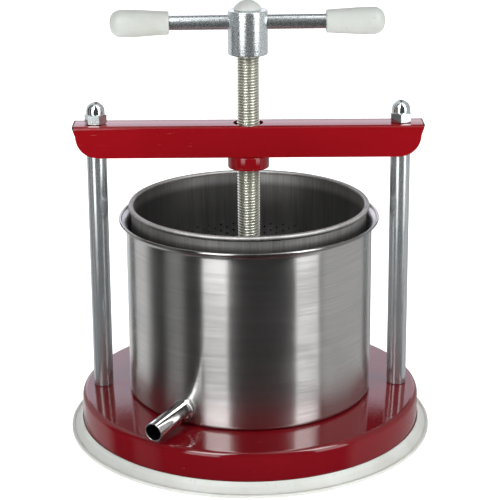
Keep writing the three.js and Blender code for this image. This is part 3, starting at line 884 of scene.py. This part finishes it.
# ---- basket ----
class BasketWall:
    """Where the basket's tapered wall is, and the band of it that holds the rows of punched holes."""

    def __init__(self, low, high):
        self.rim = high.z
        self.top_radius = high.x - BASKET_WALL_INSET
        self.foot = low.z + BASKET_CORNER_RADIUS
        self.rows = int((high.z - HOLES_BELOW_RIM - self.foot) // (HOLE_STEP / 2))
        self.start = high.z - HOLES_BELOW_RIM - self.rows * HOLE_STEP / 2

    def radius(self, z):
        share = (self.rim - z) / (self.rim - self.foot)
        return self.top_radius - BASKET_TAPER * share

    def point(self, across, z, skin):
        """A point on the wall. Across is in columns, and the skin is 0 outside and 1 inside."""
        angle = 2 * math.pi * across / HOLE_COLUMNS
        radius = self.radius(z) - skin * SHEET
        return Vector((radius * math.cos(angle), radius * math.sin(angle), z))


def punched_cell(mesh, wall, column, middle):
    """One square of wall round a hole, on both skins, with the hole's own edge."""
    half = HOLE_STEP / 2
    width = 2 * math.pi * wall.radius(middle) / HOLE_COLUMNS
    frames, rims = [], []
    for skin in (0, 1):
        outline, hole = [], []
        for k in range(8):
            angle = math.pi / 4 * k
            reach = 1 / max(abs(math.cos(angle)), abs(math.sin(angle)))
            across = column + 0.5 + 0.5 * reach * math.cos(angle)
            corner = wall.point(across, middle + half * reach * math.sin(angle), skin)
            outline.append(mesh.verts.new(corner))
            across = column + 0.5 + HOLE_RADIUS * math.cos(angle) / width
            edge = wall.point(across, middle + HOLE_RADIUS * math.sin(angle), skin)
            hole.append(mesh.verts.new(edge))
        frames.append(outline)
        rims.append(hole)
    for k in range(8):
        j = (k + 1) % 8
        for skin in (0, 1):
            mesh.faces.new([frames[skin][k], frames[skin][j], rims[skin][j], rims[skin][k]])
        mesh.faces.new([rims[0][k], rims[0][j], rims[1][j], rims[1][k]])


def plain_half_cell(mesh, wall, column, bottom):
    """Two small squares of wall, where a column of holes starts or ends half a step from its neighbours."""
    top = bottom + HOLE_STEP / 2
    for skin in (0, 1):
        for start in (column, column + 0.5):
            corners = [(start, bottom), (start + 0.5, bottom), (start + 0.5, top), (start, top)]
            mesh.faces.new([mesh.verts.new(wall.point(across, z, skin)) for across, z in corners])


def perforated_basket():
    low, high = extent("basket")
    wall = BasketWall(low, high)
    mesh = bmesh.new()
    end = wall.start + wall.rows * HOLE_STEP / 2
    for column in range(HOLE_COLUMNS):
        z = wall.start
        if column % 2:
            plain_half_cell(mesh, wall, column, z)
            z += HOLE_STEP / 2
        while z + HOLE_STEP < end + 0.01:
            punched_cell(mesh, wall, column, z + HOLE_STEP / 2)
            z += HOLE_STEP
        if z < end - 0.01:
            plain_half_cell(mesh, wall, column, z)
    bead = (high.x - BASKET_BEAD_RADIUS, high.z - BASKET_BEAD_RADIUS)
    bead_foot = high.z - 2 * BASKET_BEAD_RADIUS + 0.2
    upper = [
        (wall.radius(end), end),
        (wall.radius(bead_foot), bead_foot),
        *arc(bead, BASKET_BEAD_RADIUS, -72, 205, 22),
        (wall.radius(bead_foot) - SHEET, bead_foot),
        (wall.radius(end) - SHEET, end),
    ]
    corner = (wall.radius(wall.foot) - BASKET_CORNER_RADIUS, wall.foot)
    lower = [
        (wall.radius(wall.start) - SHEET, wall.start),
        *arc(corner, BASKET_CORNER_RADIUS - SHEET, 0, -90, 10),
        (0, low.z + SHEET),
    ]
    under = [
        (0, low.z),
        *arc(corner, BASKET_CORNER_RADIUS, -90, 0, 10),
        (wall.radius(wall.start), wall.start),
    ]
    for rings in (upper, lower, under):
        revolve(mesh, rings, 2 * HOLE_COLUMNS)
    weld(mesh, 0.01)
    piece("perforated_basket", mesh, "basket", BASKET_STEEL, ["basket"], sharp=40)


# ---- stage ----
def pale_floor():
    mesh = bmesh.new()
    bmesh.ops.create_grid(mesh, x_segments=8, y_segments=8, size=14)
    data = bpy.data.meshes.new("floor")
    mesh.to_mesh(data)
    mesh.free()
    floor = bpy.data.objects.new("floor", data)
    bpy.context.scene.collection.objects.link(floor)
    material, tree, shader = new_material("floor", Roughness=0.9)
    shade = noise(tree, place(tree), 3.0, 2.0)
    join(tree, shader, Base_Color=mix(tree, shade, (0.9, 0.9, 0.9, 1), (0.93, 0.93, 0.93, 1)))
    shader.inputs["Specular IOR Level"].default_value = 0.0
    shader.inputs["Emission Color"].default_value = (1.0, 1.0, 1.0, 1.0)
    shader.inputs["Emission Strength"].default_value = 0.78
    data.materials.append(material)
    floor.visible_glossy = False


def lamp(name, place_at, target, width, height, power):
    """A soft rectangular lamp that faces a point."""
    light = bpy.data.lights.new(name, "AREA")
    light.shape = "RECTANGLE"
    light.size, light.size_y = width, height
    light.energy = power
    holder = bpy.data.objects.new(name, light)
    bpy.context.scene.collection.objects.link(holder)
    holder.location = place_at
    holder.rotation_euler = (Vector(target) - Vector(place_at)).to_track_quat("-Z", "Y").to_euler()
    return holder


def band(tree, direction, azimuth, half_width, softness, level):
    """A tall soft panel in the surroundings. Azimuth 0 is in front, towards -Y, and 90 is towards +X."""
    angle = math.radians(azimuth)
    towards = (math.sin(angle), -math.cos(angle), 0.0)
    values = {0: direction, 1: towards}
    along = node(tree, "ShaderNodeVectorMath", values, operation="DOT_PRODUCT").outputs["Value"]
    edge = math.cos(math.radians(half_width + softness))
    full = math.cos(math.radians(max(0.0, half_width - softness)))
    return remap(tree, along, edge, full, 0.0, level)


def studio():
    """Surroundings for reflections: two bright panels in front, dim ones at the sides and a wall behind.

    The panels are placed to bring the reflections near the photograph's. The camera sees plain grey.
    """
    world = bpy.data.worlds.new("studio")
    world.use_nodes = True
    bpy.context.scene.world = world
    tree = world.node_tree
    background = tree.nodes["Background"]
    direction = node(tree, "ShaderNodeTexCoord").outputs["Generated"]
    sideways = node(tree, "ShaderNodeVectorMath", {0: direction, 1: (1.0, 1.0, 0.0)}, operation="MULTIPLY")
    values = {0: sideways.outputs["Vector"]}
    flat = node(tree, "ShaderNodeVectorMath", values, operation="NORMALIZE").outputs["Vector"]
    height = node(tree, "ShaderNodeSeparateXYZ", {"Vector": direction}).outputs["Z"]
    raised = remap(tree, height, -0.3, -0.15)
    front = combine(tree, "ADD", band(tree, flat, -31, 11.5, 1.5, 3.3), band(tree, flat, 54, 11.5, 1.5, 3.1))
    total = combine(tree, "MULTIPLY", raised, front)
    for azimuth, half_width, softness, level in ((-74, 8, 6, 0.22), (-140, 31, 8, 0.6), (115, 45, 6, 0.42)):
        total = combine(tree, "ADD", total, band(tree, flat, azimuth, half_width, softness, level))
    below_ceiling = remap(tree, height, 0.405, 0.43, 1.0, 0.0)
    above_floor = remap(tree, height, 0.06, 0.19, 0.12, 1.0)
    wall_height = combine(tree, "MULTIPLY", below_ceiling, above_floor)
    wall = combine(tree, "MULTIPLY", wall_height, band(tree, flat, 180, 24, 6, 1.35))
    total = combine(tree, "ADD", total, combine(tree, "ADD", wall, 0.04))
    tint = mix(tree, remap(tree, wall, 0.2, 0.8), (1, 1, 1, 1), (1.0, 0.97, 1.1, 1))
    coloured = scaled(tree, tint, total)
    seen = node(tree, "ShaderNodeLightPath").outputs["Is Camera Ray"]
    shown = mix(tree, seen, coloured, (0.93, 0.93, 0.93, 1))
    tree.links.new(shown, background.inputs["Color"])


def lamps():
    """Soft studio lamps. The fill is hidden from reflections, and the soft boxes show only in reflections."""
    lamp("overhead", (0.7, -0.5, 2.2), (0, 0, 0.1), 1.8, 1.8, 4)
    fill = lamp("front_fill", (-0.2, -2.2, 0.75), (0, 0, 0.15), 2.6, 1.2, 2.5)
    fill.visible_glossy = False
    softbox_left = lamp("softbox_left", (-0.65, -1.09, 1.3), (0, 0, 0.1), 0.7, 0.8, 14)
    softbox_right = lamp("softbox_right", (1.03, -0.75, 1.3), (0, 0, 0.1), 0.5, 0.8, 9)
    softbox_left.visible_diffuse = False
    softbox_right.visible_diffuse = False


def camera():
    """A long lens, a little above the press and in front of it."""
    data = bpy.data.cameras.new("camera")
    data.sensor_width = 36
    data.lens = 117.68
    data.shift_x = 0.0021
    data.shift_y = -0.1468
    holder = bpy.data.objects.new("camera", data)
    bpy.context.scene.collection.objects.link(holder)
    holder.location = (0.0003, -1.3753, 0.6099)
    pitch, roll = math.radians(15.503), math.radians(-0.374)
    turn = Matrix.Rotation(math.pi / 2 - pitch, 4, "X") @ Matrix.Rotation(roll, 4, "Z")
    holder.rotation_euler = turn.to_euler()
    bpy.context.scene.camera = holder


# ---- the whole press ----
painted_pan()
foot_trim()
for side in ("left", "right"):
    column_post(side)
    stud_nut(side)
    stud_washer(side)
    cap_nut(side)
painted_crossbeam()
threaded_nut()
threaded_screw()
screw_head()
head_button()
bar_screw()
handle_bar()
handle_grip("right", 0.0)
handle_grip("left", math.pi)
pressing_plate()
pressing_hub()
hub_screw()
juice_pot()
spout_pipe()
spout_weld()
perforated_basket()

pale_floor()
studio()
lamps()
camera()
bpy.context.scene.view_settings.view_transform = "Standard"
